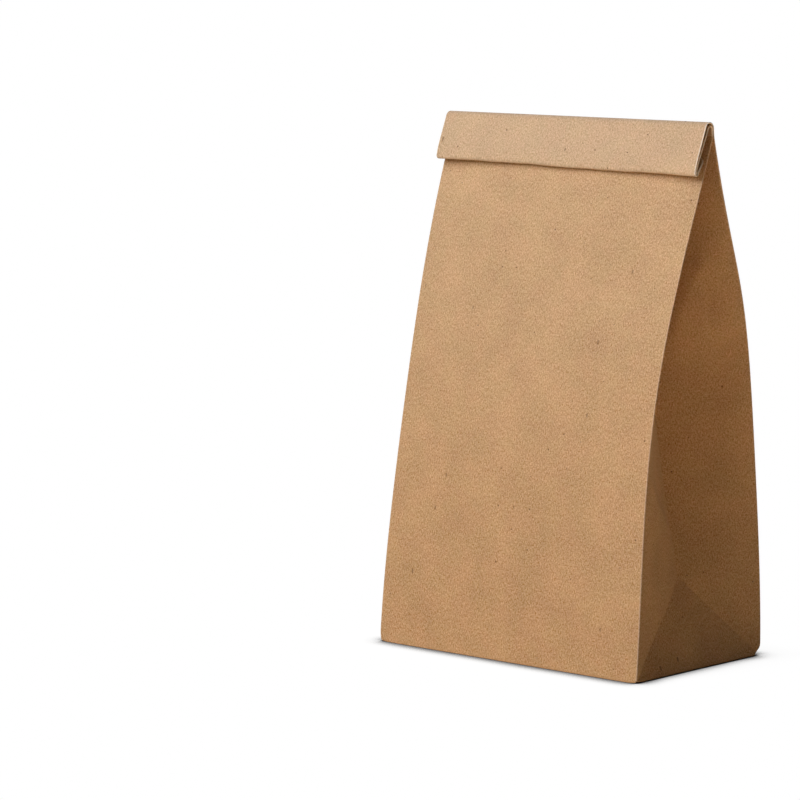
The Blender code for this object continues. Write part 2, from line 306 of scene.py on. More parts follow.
class PaperTube:
    """The whole sheet as a grid: rows climb the tube, columns run once round it."""

    def __init__(self, bag: FlatBag, stance: Stance, roll: RollSizes, plan: SheetPlan) -> None:
        """Keep the sizes and lay out the columns.

        Args:
            bag: Widths and paper of the flat bag.
            stance: How the bag stands.
            roll: Sizes of the rolled mouth.
            plan: How finely the sheet is divided.
        """
        self.bag = bag
        self.stance = stance
        self.roll = roll
        self.plan = plan
        self.fold = GussetFold(bag)
        quarter = plan.panel + plan.corner + plan.run + plan.crease
        self.quarter = quarter
        half = np.arange(2 * quarter + 1)
        self.half_column = np.concatenate([half, half[-2:0:-1]])
        self.side = np.concatenate([np.ones(len(half)), -np.ones(len(half) - 2)])
        self.front_end = plan.panel + plan.corner
        self.back_start = 2 * quarter - self.front_end

    def panel_shares(self) -> np.ndarray:
        """Shares of the half panel at its columns: even steps, and one more beside the fold."""
        even = np.arange(self.plan.panel - 1) / (self.plan.panel - 1)
        return np.append(even, 1.0 - self.plan.panel_edge / self.bag.half_width)

    def across(self) -> np.ndarray:
        """Paper distance of each column from the front's centre, negative on the left."""
        plan, bag, fold = self.plan, self.bag, self.fold
        half_panel = bag.half_width
        panel = half_panel * self.panel_shares()
        corner = half_panel + np.linspace(0.0, fold.corner_paper, plan.corner + 1)
        run = corner[-1] + fold.run * np.arange(1, plan.run) / plan.run
        crease = corner[-1] + fold.run + np.linspace(0.0, fold.crease_paper, plan.crease + 1)
        quarter = np.concatenate([panel, corner, run, crease])
        half = np.concatenate([quarter, 2.0 * quarter[-1] - quarter[-2::-1]])
        return half[self.half_column] * self.side

    def body_rows(self) -> dict[str, np.ndarray]:
        """Centre, direction, half depth, half width and bow of each row of the body.

        Rows share out the length of the panel curves alike. Half way up the side creases draw
        in and the panels bow out, by sine squared of the height's share of half a turn.

        Returns:
            Arrays by name, one entry for each row, with the paper's height as "paper".
        """
        stance = self.stance
        closed = self.bag.closed_half_depth
        tilt = np.array([math.cos(stance.neck_tilt), math.sin(stance.neck_tilt)])
        neck = np.array([stance.neck_back_set, stance.neck_height])
        front = PanelCurve(
            (-self.bag.half_depth, 0.0), tuple(neck - closed * tilt),
            stance.front_foot_lean, stance.front_foot_handle,
            stance.front_neck_lean, stance.front_neck_handle,
        )
        back = PanelCurve(
            (self.bag.half_depth, 0.0), tuple(neck + closed * tilt),
            stance.back_foot_lean, stance.back_foot_handle,
            stance.back_neck_lean, stance.back_neck_handle,
        )
        front_points, front_lengths = front.sample()
        back_points, back_lengths = back.sample()
        length = (front_lengths[-1] + back_lengths[-1]) / 2.0
        low = np.linspace(0.0, stance.apex_height, self.plan.run + 1)
        high = np.linspace(stance.apex_height, length, self.plan.body + 1)[1:]
        paper = np.concatenate([low, high])
        share = paper / length
        ends = []
        for points, lengths in ((front_points, front_lengths), (back_points, back_lengths)):
            at = share * lengths[-1]
            ends.append(np.stack([np.interp(at, lengths, points[:, k]) for k in (0, 1)], -1))
        centre = (ends[0] + ends[1]) / 2.0
        depth = np.hypot(*(ends[1] - ends[0]).T)
        hill = np.sin(math.pi * np.clip(centre[:, 1] / stance.neck_height, 0.0, 1.0)) ** 2
        return {
            "paper": paper,
            "centre": centre,
            "direction": (ends[1] - ends[0]) / depth[:, None],
            "half_depth": depth / 2.0,
            "half_width": self.bag.half_width - stance.waist_draw * hill,
            "bow": stance.panel_bow * hill,
        }

    def section(
        self, half_width: np.ndarray, half_depth: np.ndarray, bow: np.ndarray
    ) -> tuple[np.ndarray, np.ndarray]:
        """Quarter of each row's section, from the front's centre to the middle crease.

        The panel is a shallow parabola, the corner an arc, the gusset's half a straight run
        and the middle crease an arc of the opposite turn.

        Args:
            half_width: Half width of each row.
            half_depth: Half depth of each row.
            bow: How far the panel's centre stands out, for each row.

        Returns:
            x and w as (rows, columns) arrays, where w is minus the half depth at the panel
            and 0 at the middle crease.
        """
        plan, fold = self.plan, self.fold
        lean = fold.lean_at(half_depth)[:, None]
        radius = fold.corner_paper / (math.pi / 2.0 + lean)
        width, depth = half_width[:, None], half_depth[:, None]
        share = self.panel_shares()[None, :]
        panel_x = (width - radius) * share
        panel_w = -depth - bow[:, None] * (1.0 - share**2)
        angle = (math.pi / 2.0 + lean) * np.linspace(0.0, 1.0, plan.corner + 1)[None, :]
        corner_x = width - radius + radius * np.sin(angle)
        corner_w = -depth + radius - radius * np.cos(angle)
        bend = fold.crease_paper / lean
        crease_x = corner_x[:, -1:] - fold.run * np.sin(lean) - bend * (1.0 - np.cos(lean))
        back = lean * np.linspace(1.0, 0.0, plan.crease + 1)[None, :]
        arc_x = crease_x + bend * (1.0 - np.cos(back))
        arc_w = -bend * np.sin(back)
        along = (np.arange(1, plan.run) / plan.run)[None, :]
        run_x = corner_x[:, -1:] + (arc_x[:, :1] - corner_x[:, -1:]) * along
        run_w = corner_w[:, -1:] + (arc_w[:, :1] - corner_w[:, -1:]) * along
        return (
            np.concatenate([panel_x, corner_x, run_x, arc_x], axis=1),
            np.concatenate([panel_w, corner_w, run_w, arc_w], axis=1),
        )

    def body(self) -> tuple[np.ndarray, np.ndarray, np.ndarray]:
        """Points of the half of the body at +X.

        A point lies at its row's centre plus w along the row's direction. The middle crease
        then sinks so that its paper is as long as the panels', and below the apex the gusset
        breaks along its two slanting creases.

        Returns:
            The (rows, half columns, 3) points, the paper height of each row, and w of each
            half column in the closed neck.
        """
        rows = self.body_rows()
        x, w = self.section(rows["half_width"], rows["half_depth"], rows["bow"])
        x = np.concatenate([x, x[:, -2::-1]], axis=1)
        w = np.concatenate([w, -w[:, -2::-1]], axis=1)
        centre, direction = rows["centre"], rows["direction"]
        points = np.stack([
            x,
            centre[:, :1] + w * direction[:, :1],
            centre[:, 1:] + w * direction[:, 1:],
        ], axis=-1)
        paper = rows["paper"]
        apex = self.plan.run
        middle = points[:, self.quarter]
        climb = np.diff(middle, axis=0)
        rise = np.sqrt(np.maximum(np.diff(paper) ** 2 - climb[:, 0] ** 2 - climb[:, 1] ** 2, 0.0))
        first = middle[apex] - middle[0]
        start = math.sqrt(max(paper[apex] ** 2 - first[0] ** 2 - first[1] ** 2, 0.0))
        height = start + np.concatenate([[0.0], np.cumsum(rise[apex:])])
        share = (paper[apex:] - paper[apex]) / (paper[-1] - paper[apex])
        left_over = middle[-1, 2] - height[-1]
        drop = np.zeros(len(paper))
        drop[apex:] = middle[apex:, 2] - height - left_over * share
        self.sink_crease(points, drop)
        self.break_gusset(points)
        return points, paper, w[-1]

    def sink_crease(self, points: np.ndarray, drop: np.ndarray) -> None:
        """Lower the middle crease by drop, and the gusset's runs in proportion.

        Args:
            points: The half body, changed in place.
            drop: How far the crease sinks on each row.
        """
        plan = self.plan
        share = np.zeros(points.shape[1])
        start = self.front_end
        run = np.arange(plan.run + 1) / plan.run
        share[start:start + plan.run + 1] = run
        share[self.quarter - plan.crease:self.quarter + plan.crease + 1] = 1.0
        share[self.back_start - plan.run:self.back_start + 1] = run[::-1]
        points[:, :, 2] -= drop[:, None] * share[None, :]

    def break_gusset(self, points: np.ndarray) -> None:
        """Fold the gusset below the apex along creases that slant to the base's corners.

        On row k of n the slanting crease lies at the share k / n from the base's corner to
        the apex. The runs are straight from the panel's fold to it and from it to the middle.

        Args:
            points: The half body, changed in place.
        """
        plan = self.plan
        n = plan.run
        k = np.arange(n + 1)[:, None]
        share = (k / n)[..., None]
        middle = slice(self.quarter - plan.crease, self.quarter + plan.crease + 1)
        low = points[0, middle].copy()
        high = points[n, middle].copy()
        points[:n + 1, middle] = low + (high - low) * share
        j = np.arange(n + 1)[None, :]
        for start, step in ((self.front_end, 1), (self.back_start, -1)):
            columns = start + step * np.arange(n + 1)
            fold = points[:n + 1, start][:, None, :]
            end = points[:n + 1, columns[-1]][:, None, :]
            slant = points[0, start] + (points[n, columns[-1]] - points[0, start]) * share
            near = (j / np.maximum(k, 1))[..., None]
            far = ((j - k) / np.maximum(n - k, 1))[..., None]
            lower = fold + (slant - fold) * near
            upper = slant + (end - slant) * far
            points[:n + 1, columns] = np.where((j <= k)[..., None], lower, upper)

    def roll_rows(self, x: np.ndarray) -> tuple[np.ndarray, np.ndarray, np.ndarray]:
        """Centre line of the roll below each column, and the direction across its plies.

        The line is followed by its length s: its heading grows by one turn after another, each
        spread evenly over that turn's length, and its points are the running sum of the steps
        along the heading. The lengths differ a little from the left end to the right.

        Args:
            x: Place of each column across the bag.

        Returns:
            The (rows, columns, 2) centres, the (rows, columns) angles of the direction across
            the plies, and the (rows, columns) paper lengths from the neck.
        """
        roll, plan, tilt = self.roll, self.plan, self.stance.neck_tilt
        skew = x / self.bag.half_width
        wave = roll.edge_wave * sum(
            share * np.sin(x * turn + phase) for share, turn, phase in roll.edge_waves
        )
        flap_angle = math.pi - roll.flap_lean
        tuck_angle = 2.0 * math.pi - roll.tuck_lean
        lower_turn = tuck_angle - flap_angle - roll.ease_turn
        bend_turn = roll.tuck_lean - roll.end_lean
        level = np.ones_like(x)
        pieces = (
            (plan.neck, roll.rise + roll.rise_skew * skew, 0.0),
            (plan.top_fold, roll.top_radius * (flap_angle - tilt) * level, flap_angle - tilt),
            (plan.flap, roll.flap + roll.flap_skew * skew + wave, 0.0),
            (plan.flap_ease, roll.ease * level, roll.ease_turn),
            (plan.lower_fold, roll.lower_radius * lower_turn * level, lower_turn),
            (plan.tuck, (roll.tuck - roll.flap_skew * skew) - wave, 0.0),
            (plan.tuck_bend, roll.bend_radius * bend_turn * level, bend_turn),
            (plan.tuck_end, roll.end * level, 0.0),
        )
        steps = np.concatenate([np.repeat(length[None] / n, n, axis=0) for n, length, _ in pieces])
        turns = np.concatenate([np.full(n, turn / n) for n, _, turn in pieces])[:, None]
        angle = tilt + np.cumsum(turns, axis=0) * np.ones_like(steps)
        middle = angle - turns / 2.0
        chord = steps * np.sinc(turns / (2.0 * math.pi))
        move = np.stack([-np.sin(middle), np.cos(middle)], axis=-1) * chord[..., None]
        neck = np.array([self.stance.neck_back_set, self.stance.neck_height])
        return neck + np.cumsum(move, axis=0), angle, np.cumsum(steps, axis=0)

    def base(self, rim: np.ndarray) -> np.ndarray:
        """Rows from the tube's foot in under the bag, to the middle line of the base.

        The foot turns under on a small arc. The flaps then close in on the middle line:
        at share t, x is the rim's times 1 - t half depth / half width and y the rim's times
        1 - t. The front flap lies lowest, the back flap one ply up and the ends two.

        Args:
            rim: The (columns, 3) points of the lowest row of the body.

        Returns:
            The (rows, columns, 3) points, from the innermost row out to the rim.
        """
        plan, radius = self.plan, self.stance.base_fold_radius
        column = self.half_column
        pitch = 1.5 * self.bag.paper
        level = np.full(len(column), 2.0 * pitch)
        level[column >= 2 * self.quarter - plan.panel] = pitch
        level[column <= plan.panel] = 0.0
        level += self.bag.paper / 2.0
        shrink = self.bag.half_depth / self.bag.half_width
        turn = np.linspace(0.0, math.pi / 2.0, plan.base_fold + 1)[1:, None]
        reach = radius * (1.0 - np.cos(turn))
        drop = radius * (1.0 - np.sin(turn))
        flats = np.linspace(radius, self.bag.half_depth, plan.base + 1)[1:, None]
        inset = np.concatenate([reach, flats]) / self.bag.half_depth
        height = np.concatenate([drop, np.zeros((plan.base, 1))])
        rows = np.stack([
            rim[None, :, 0] * (1.0 - inset * shrink),
            rim[None, :, 1] * (1.0 - inset),
            level[None, :] + height,
        ], axis=-1)
        rim[:, 2] = level + radius
        return rows[::-1]

    def fold_lengths(self, x: np.ndarray) -> tuple[float, np.ndarray]:
        """Paper from the neck to where the top fold ends and to where the lower fold starts.

        Args:
            x: Place of each column across the bag.

        Returns:
            The first length, and the second for each column.
        """
        roll = self.roll
        over = roll.rise + roll.top_radius * (math.pi - roll.flap_lean - self.stance.neck_tilt)
        return over, over + roll.flap + roll.flap_skew * x / self.bag.half_width + roll.ease

    def drawn_in(self, x: np.ndarray, length: np.ndarray) -> np.ndarray:
        """Places across the bag of the roll's points: the tucked mouth is drawn in at its ends.

        Args:
            x: Place of each column across the bag.
            length: The (rows, columns) paper lengths from the neck.

        Returns:
            The (rows, columns) places.
        """
        lower = self.fold_lengths(x)[1]
        drawn = smooth(*self.roll.draw_span, length - lower)
        return x * (1.0 - self.roll.draw_in / self.bag.half_width * drawn)

    def part_plies(self, w: np.ndarray, x: np.ndarray, length: np.ndarray) -> np.ndarray:
        """Offsets of the plies across the roll: the inner pair parts from the outer one.

        The parting climbs round the top fold, is widest just past it and closes down the flap.
        The outermost ply has small wrinkles along the lower fold: a sine along it under a
        bell across it. Past that fold the plies are pressed together.

        Args:
            w: Offset of each column in the closed neck.
            x: Place of each column across the bag.
            length: The (rows, columns) paper lengths from the neck.

        Returns:
            The (rows, columns) offsets.
        """
        roll = self.roll
        over, lower = self.fold_lengths(x)
        w = w * (1.0 - (1.0 - roll.press) * smooth(*roll.press_span, length - lower))
        opened = smooth(roll.rise, over, length)
        closed = 1.0 - np.clip((length - over) / (lower - over), 0.0, 1.0)
        inner = np.clip(-w / self.bag.ply_pitch + 0.5, 0.0, 1.0)
        parted = w - roll.parting * opened * closed * inner
        long_wave, short_wave = roll.wrinkle_waves
        ripple = np.sin(x / long_wave) + 0.7 * np.sin(x / short_wave + 1.0)
        window = smooth(*roll.wrinkle_start, x) * (1.0 - smooth(*roll.wrinkle_stop, x))
        before, reach = roll.wrinkle_bell
        bell = np.exp(-(((length - lower + before) / reach) ** 2))
        outermost = w > self.bag.ply_pitch
        return parted - roll.wrinkle * ripple * window * bell * outermost

    def scuff(self, points: np.ndarray) -> np.ndarray:
        """Blunt the sheet's lower corners, by a push that fades as exp(-(distance / reach)^2).

        Args:
            points: The (rows, columns, 3) points.

        Returns:
            The points with the corners pushed in and up.
        """
        stance = self.stance
        corner = np.array([self.bag.half_width, self.bag.half_depth, 0.0])
        sign = np.sign(points + 1e-9) * np.array([1.0, 1.0, 0.0])
        gap = np.linalg.norm(points * np.array([1.0, 1.0, 0.0]) - sign * corner, axis=-1)
        gap = np.hypot(gap, points[..., 2])
        depth = np.where(points[..., 1] > 0.0, stance.back_scuff, stance.front_scuff)
        push = (depth * np.exp(-((gap / stance.scuff_reach) ** 2)))[..., None]
        return points + push * (np.array([0.0, 0.0, 1.0]) - sign)

    def build(self, relief: "PaperRelief") -> "SheetMesh":
        """Put base, body and roll together as one grid, with the paper's relief on the body.

        Args:
            relief: The dents and creases of the opened paper.

        Returns:
            The grid's points, paper coordinates, wear and faces.
        """
        half, paper, half_w = self.body()
        body = half[:, self.half_column].copy()
        body[:, :, 0] *= self.side
        across = self.across()
        base = self.base(body[0])
        body += relief.offset(self, body, across, paper)
        x = body[-1, :, 0]
        centre, angle, roll_paper = self.roll_rows(x)
        w = self.part_plies(half_w[self.half_column], x, roll_paper)
        roll = np.stack([
            self.drawn_in(x, roll_paper),
            centre[..., 0] + w * np.cos(angle),
            centre[..., 1] + w * np.sin(angle),
        ], axis=-1)
        points = self.scuff(np.concatenate([base, body, roll]))
        up = np.concatenate([
            -np.abs(np.linspace(-self.bag.half_depth, 0.0, len(base) + 1)[:-1, None])
            * np.ones_like(across)[None],
            np.broadcast_to(paper[:, None], body.shape[:2]),
            paper[-1] + roll_paper,
        ])
        rows = {"rim": len(base), "apex": len(base) + self.plan.run, "neck": len(base) + len(paper)}
        return SheetMesh(self, points, np.broadcast_to(across, up.shape), up, rows)


@dataclass(frozen=True)
class FoldMark:
    """A fold that the opened paper keeps on one part of the sheet, along straight legs.

    Places on its line are (in from the part's crease, up the paper) in millimetres. On a
    gusset "in" runs from the front crease back, and on a panel from its middle to the right.
    """

    part: SheetPart
    line: tuple[Pair, ...]
    height: float
    above: float
    below: float
    soft: float = 0.8

    def places(self, bag: FlatBag) -> np.ndarray:
        """The line's places as (across, up) in metres, where across is negative on the left."""
        line = np.array(self.line) * MM
        shift = {
            SheetPart.RIGHT_GUSSET: (bag.half_width, 1.0),
            SheetPart.LEFT_GUSSET: (-bag.half_width, -1.0),
            SheetPart.BACK: (bag.panel_width + bag.gusset_depth, 1.0),
        }[self.part]
        return np.stack([shift[0] + shift[1] * line[:, 0], line[:, 1]], axis=-1)

    def offset(self, bag: FlatBag, across: np.ndarray, up: np.ndarray) -> np.ndarray:
        """Height of the mark, which falls off with distance d from its line.

        The height is exp(-(root of (d squared + soft squared) - soft) / reach), where the
        reach differs above and below the line, and it fades to nothing at the line's ends.

        Args:
            bag: The flat bag, for the places of its creases.
            across: Paper distance round the bag.
            up: Paper height.

        Returns:
            The height at each place.
        """
        places = self.places(bag)
        perimeter = 2.0 * (bag.panel_width + bag.gusset_depth)
        if self.part is SheetPart.BACK:
            across = np.mod(across, perimeter)
        legs = np.hypot(*np.diff(places, axis=0).T)
        total = float(legs.sum())
        passed = 0.0
        best = np.full(np.shape(across), np.inf)
        side = np.zeros(np.shape(across))
        share = np.zeros(np.shape(across))
        for start, end, leg in zip(places[:-1], places[1:], legs):
            line = end - start
            along = ((across - start[0]) * line[0] + (up - start[1]) * line[1]) / leg**2
            nearest = np.clip(along, 0.0, 1.0)
            gap_x = across - start[0] - nearest * line[0]
            gap_y = up - start[1] - nearest * line[1]
            distance = np.hypot(gap_x, gap_y)
            closer = distance < best
            best = np.where(closer, distance, best)
            side = np.where(closer, gap_y, side)
            share = np.where(closer, (passed + nearest * leg) / total, share)
            passed += leg
        soft = self.soft * MM
        reach = np.where(side > 0.0, self.above, self.below) * MM
        fade = np.sqrt(np.sin(math.pi * np.clip(share, 0.0, 1.0)))
        return self.height * MM * fade * np.exp(-(np.hypot(best, soft) - soft) / reach)


@dataclass(frozen=True)
class PaperRelief:
    """Slight waves and fold marks that the opened paper keeps, as offsets along its normal."""

    bag: FlatBag
    wave: float = 0.3 * MM
    waves: int = 7
    wave_lengths_mm: Pair = (45.0, 110.0)
    edge_margin: float = 5.0 * MM
    foot_margin: float = 6.0 * MM
    neck_margin: float = 24.0 * MM
    belly: float = 2.4 * MM
    belly_top: Pair = (8.5 * MM, 17.0 * MM)
    belly_foot: Pair = (24.0 * MM, 75.0 * MM)
    seed: int = 11

    def marks(self) -> tuple[FoldMark, ...]:
        """The fold marks: the back's cross fold, and knees and buckles on both gussets."""
        right, left, back = SheetPart.RIGHT_GUSSET, SheetPart.LEFT_GUSSET, SheetPart.BACK
        knee = (
            (55.7, 140.0), (61.1, 158.9), (67.7, 171.9), (76.6, 184.7), (83.0, 168.5), (89.7, 152.0),
        )
        left_knee = ((53.0, 128.0), (60.0, 150.0), (70.0, 168.0), (79.0, 178.0), (89.0, 150.0))
        return (
            FoldMark(back, ((-74.0, 46.0), (74.0, 46.0)), 0.5, 2.4, 2.4),
            FoldMark(right, knee, 5.0, 9.0, 38.0),
            FoldMark(right, ((4.0, 89.0), (8.8, 86.0), (35.0, 69.0), (46.0, 53.5)), 2.0, 4.0, 12.0),
            FoldMark(right, ((50.0, 93.0), (69.0, 90.0), (89.0, 88.0)), 0.6, 3.0, 5.0),
            FoldMark(right, ((47.5, 42.0), (50.9, 31.0), (47.0, 14.0), (46.0, 2.0)), 0.7, 1.8, 1.8),
            FoldMark(left, left_knee, 1.8, 9.0, 15.0),
            FoldMark(left, ((6.0, 96.0), (34.0, 74.0), (45.0, 52.0)), 0.7, 5.0, 9.0),
            FoldMark(left, ((45.5, 38.0), (45.0, 4.0)), 0.3, 1.8, 1.8),
        )

    def belly_at(self, u: np.ndarray, to_neck: np.ndarray) -> np.ndarray:
        """How far the front panel swells out below the flap, towards which it rises.

        Across it is 1 minus the third power of the share of the half width, and along it a
        climb from the flap's foot and a long fall below.

        Args:
            u: Paper distance round the bag.
            to_neck: Paper distance down from the neck.

        Returns:
            The swelling at each place.
        """
        shape = np.clip(1.0 - np.abs(u / self.bag.half_width) ** 3, 0.0, 1.0)
        climb = smooth(*self.belly_top, to_neck)
        return self.belly * shape * climb * (1.0 - smooth(*self.belly_foot, to_neck))

    def offset(
        self, tube: PaperTube, body: np.ndarray, across: np.ndarray, paper: np.ndarray
    ) -> np.ndarray:
        """Offsets of the body's points: waves of 45 to 110 mm plus the fold marks.

        A wave is a sine of the paper coordinates with a drawn direction and phase. Everything
        fades to nothing at the side creases, the base and the neck, so that no edge moves.

        Args:
            tube: Not used.
            body: The (rows, columns, 3) points of the body.
            across: Paper distance of each column.
            paper: Paper height of each row.

        Returns:
            The (rows, columns, 3) offsets.
        """
        u, v = np.broadcast_arrays(across[None, :], paper[:, None])
        rng = np.random.default_rng(self.seed)
        height = np.zeros(u.shape)
        for _ in range(self.waves):
            length = rng.uniform(*self.wave_lengths_mm) * MM
            angle = rng.uniform(0.0, math.pi)
            phase = rng.uniform(0.0, 2.0 * math.pi)
            turn = 2.0 * math.pi / length
            height += np.sin(turn * (u * math.cos(angle) + v * math.sin(angle)) + phase)
        height *= self.wave / math.sqrt(self.waves)
        for mark in self.marks():
            height += mark.offset(self.bag, u, v)
        side = self.bag.half_width
        back = side + self.bag.gusset_depth
        distance = np.minimum(np.abs(np.abs(u) - side), np.abs(np.abs(u) - back))
        fade = smooth(0.0, self.edge_margin, distance)
        fade = fade * smooth(0.0, self.foot_margin, v)
        fade = fade * smooth(0.0, self.neck_margin, paper[-1] - v)
        total = height * fade + self.belly_at(u, paper[-1] - v)
        return normals(body) * total[..., None]


@dataclass(frozen=True)
class WearLevels:
    """How much lighter the paper is drawn, from 0 to 1, by rubbing, painted highlight on the creases
    and painted sheen on the flap, and which share of each fold's rows is worn most.
    """

    # The crease levels draw the creases lighter: rubbing plus a painted highlight.
    standing_crease: float = 0.2
    rolled_crease: float = 0.8
    tucked_drop: float = 0.6
    # Painted sheen: the flap is drawn lighter, as where light from above falls on it.
    flap: float = 0.11
    folds: float = 0.2
    fold_rows: float = 2.0
    top_share: float = 0.45
    lower_share: float = 0.3
    tuck_share: float = 0.7


class SheetMesh:
    """The sheet's grid made into a mesh object."""

    def __init__(
        self,
        tube: PaperTube,
        points: np.ndarray,
        across: np.ndarray,
        up: np.ndarray,
        rows: dict[str, int],
    ) -> None:
        """Keep the grid.

        Args:
            tube: The tube that the grid belongs to.
            points: The (rows, columns, 3) points.
            across: Paper distance round the bag of each point.
            up: Paper height of each point.
            rows: First rows of the rim, the apex and the roll.
        """
        self.tube = tube
        self.points = points
        self.across = across
        self.up = up
        self.rows = rows

    def faces(self) -> list[list[int]]:
        """Quads of the grid, cut in two along the slanting creases of the gussets.

        A quad joins a point, the next round the tube and the two above them. Between the
        base and the apex the gussets' quads are cut along the creases that slant.

        Returns:
            Lists of vertex numbers.
        """
        tube = self.tube
        rows, columns = self.points.shape[:2]
        grid = np.arange(rows * columns).reshape(rows, columns)
        nxt = np.roll(grid, -1, axis=1)
        quads = np.stack([grid[:-1], nxt[:-1], nxt[1:], grid[1:]], axis=-1)
        here = tube.half_column
        there = np.roll(here, -1)
        low = np.minimum(here, there)
        run = tube.plan.run
        front = (low >= tube.front_end) & (low < tube.front_end + run)
        back = (low >= tube.back_start - run) & (low < tube.back_start)
        level = np.arange(rows - 1)
        below = ((level >= self.rows["rim"]) & (level < self.rows["apex"]))[:, None]
        rising = (front & (there > here)) | (back & (there < here))
        falling = (front & (there < here)) | (back & (there > here))
        up_cut = quads[below & rising[None]]
        down_cut = quads[below & falling[None]]
        whole = quads[~(below & (rising | falling)[None])]
        triangles = np.concatenate([
            up_cut[:, [0, 1, 2]], up_cut[:, [0, 2, 3]],
            down_cut[:, [0, 1, 3]], down_cut[:, [1, 2, 3]],
        ])
        return whole.tolist() + triangles.tolist()

    def overlap(self) -> tuple[np.ndarray, np.ndarray, np.ndarray, list[list[int]]]:
        """The strip of the front flap that laps over the back flap.

        Row i of n lies at y = overlap i / n, and its width shrinks as on the flap's slants.

        Returns:
            The strip's new points, their paper coordinates, and its quads.
        """
        tube = self.tube
        plan = tube.plan
        columns = self.points.shape[1]
        order = np.concatenate([np.arange(columns - plan.panel, columns), np.arange(plan.panel + 1)])
        inner = self.points[0, order]
        depth = tube.stance.flap_overlap * np.arange(1, plan.overlap + 1) / plan.overlap
        tip = abs(inner[0, 0])
        rows = np.stack([
            inner[None, :, 0] * (1.0 - depth[:, None] / tip),
            np.broadcast_to(depth[:, None], (plan.overlap, len(order))),
            np.broadcast_to(inner[None, :, 2], (plan.overlap, len(order))),
        ], axis=-1)
        across = np.broadcast_to(rows[:, :, 0], rows.shape[:2])
        up = self.up[0, order][None] - depth[:, None]
        first = self.points.shape[0] * columns
        numbers = first + np.arange(rows.shape[0] * rows.shape[1]).reshape(rows.shape[:2])
        grid = np.concatenate([order[None], numbers])[::-1]
        quads = np.stack([grid[:-1, :-1], grid[:-1, 1:], grid[1:, 1:], grid[1:, :-1]], axis=-1)
        return rows.reshape(-1, 3), across.reshape(-1), up.reshape(-1), quads.reshape(-1, 4).tolist()

    def seam(self) -> tuple[np.ndarray, np.ndarray, np.ndarray, list[list[int]]]:
        """The glued lap that closes the tube, in the back half of the left gusset.

        The lap is a strip of the grid set out by a little over one paper thickness along its
        normals. It runs from the foot to the neck.

        Returns:
            The strip's new points, their paper coordinates, and its quads.
        """
        tube = self.tube
        columns = self.points.shape[1]
        back = columns - tube.back_start
        order = back + tube.plan.seam_start + np.arange(tube.plan.seam + 1)
        order = order[np.argsort(-self.across[0, order])]
        rows = slice(self.rows["rim"] + 1, self.rows["neck"])
        step = tube.plan.seam_lift * tube.bag.paper * normals(self.points)[rows][:, order]
        points = self.points[rows][:, order] + step
        count = len(order)
        grid = np.arange(points.shape[0] * count).reshape(-1, count)
        quads = np.stack([grid[:-1, 1:], grid[:-1, :-1], grid[1:, :-1], grid[1:, 1:]], axis=-1)
        across = self.across[rows][:, order]
        up = self.up[rows][:, order]
        return points.reshape(-1, 3), across.reshape(-1), up.reshape(-1), quads.reshape(-1, 4)

    def wear(self) -> dict[str, np.ndarray]:
        """Paleness of each grid point: how much lighter a side crease is drawn there, by rubbing and a
        painted highlight, and how much lighter the rest.

        Below the neck and on the tucked mouth the creases are hardly lightened. The panels of the
        roll are drawn a little lighter all over, a painted sheen on the flap, and more along its two
        folds, where the paper is rubbed.

        Returns:
            One value for each grid point, under the name of its attribute.
        """
        plan, levels = self.tube.plan, WearLevels()
        rows = np.arange(len(self.points))
        first = self.rows["neck"] + plan.neck
        upper = first + levels.top_share * plan.top_fold
        lower = first + plan.top_fold + plan.flap + plan.flap_ease
        lower += levels.lower_share * plan.lower_fold
        top, edge = (
            np.exp(-(((rows - fold) / levels.fold_rows) ** 2)) for fold in (upper, lower)
        )
        rolled = (rows >= self.rows["neck"]).astype(float)
        tucked = smooth(0.0, plan.tuck, rows - lower - levels.tuck_share * plan.lower_fold)
        # Crease lines are drawn lighter: rubbing plus a painted highlight of the crease edges.
        crease = levels.rolled_crease * rolled * (1.0 - levels.tucked_drop * tucked)
        crease += levels.standing_crease
        # The flap's share is a painted sheen; the folds' share is rubbing.
        rest = levels.flap * rolled * (1.0 - tucked) + levels.folds * (top + edge)
        here = self.tube.half_column
        panel = ((here <= self.tube.front_end) | (here >= self.tube.back_start)).astype(float)
        return {
            CREASE_WEAR_AND_HIGHLIGHT: crease[:, None] * np.ones_like(panel)[None],
            FACE_WEAR_AND_SHEEN: np.clip(rest, 0.0, 1.0)[:, None] * panel[None],
        }

    def slants(self) -> np.ndarray:
        """The edges on the gussets' slanting creases, which are sharp.

        Returns:
            The (edges, 2) vertex numbers, the lower number first.
        """
        tube = self.tube
        columns = self.points.shape[1]
        step = np.arange(tube.plan.run + 1)
        row = (self.rows["rim"] + step) * columns
        front = tube.front_end + step
        back = tube.back_start - step
        lines = [row + column for column in (front, back, columns - front, columns - back)]
        pairs = np.concatenate([np.stack([line[:-1], line[1:]], axis=-1) for line in lines])
        return np.sort(pairs, axis=-1)

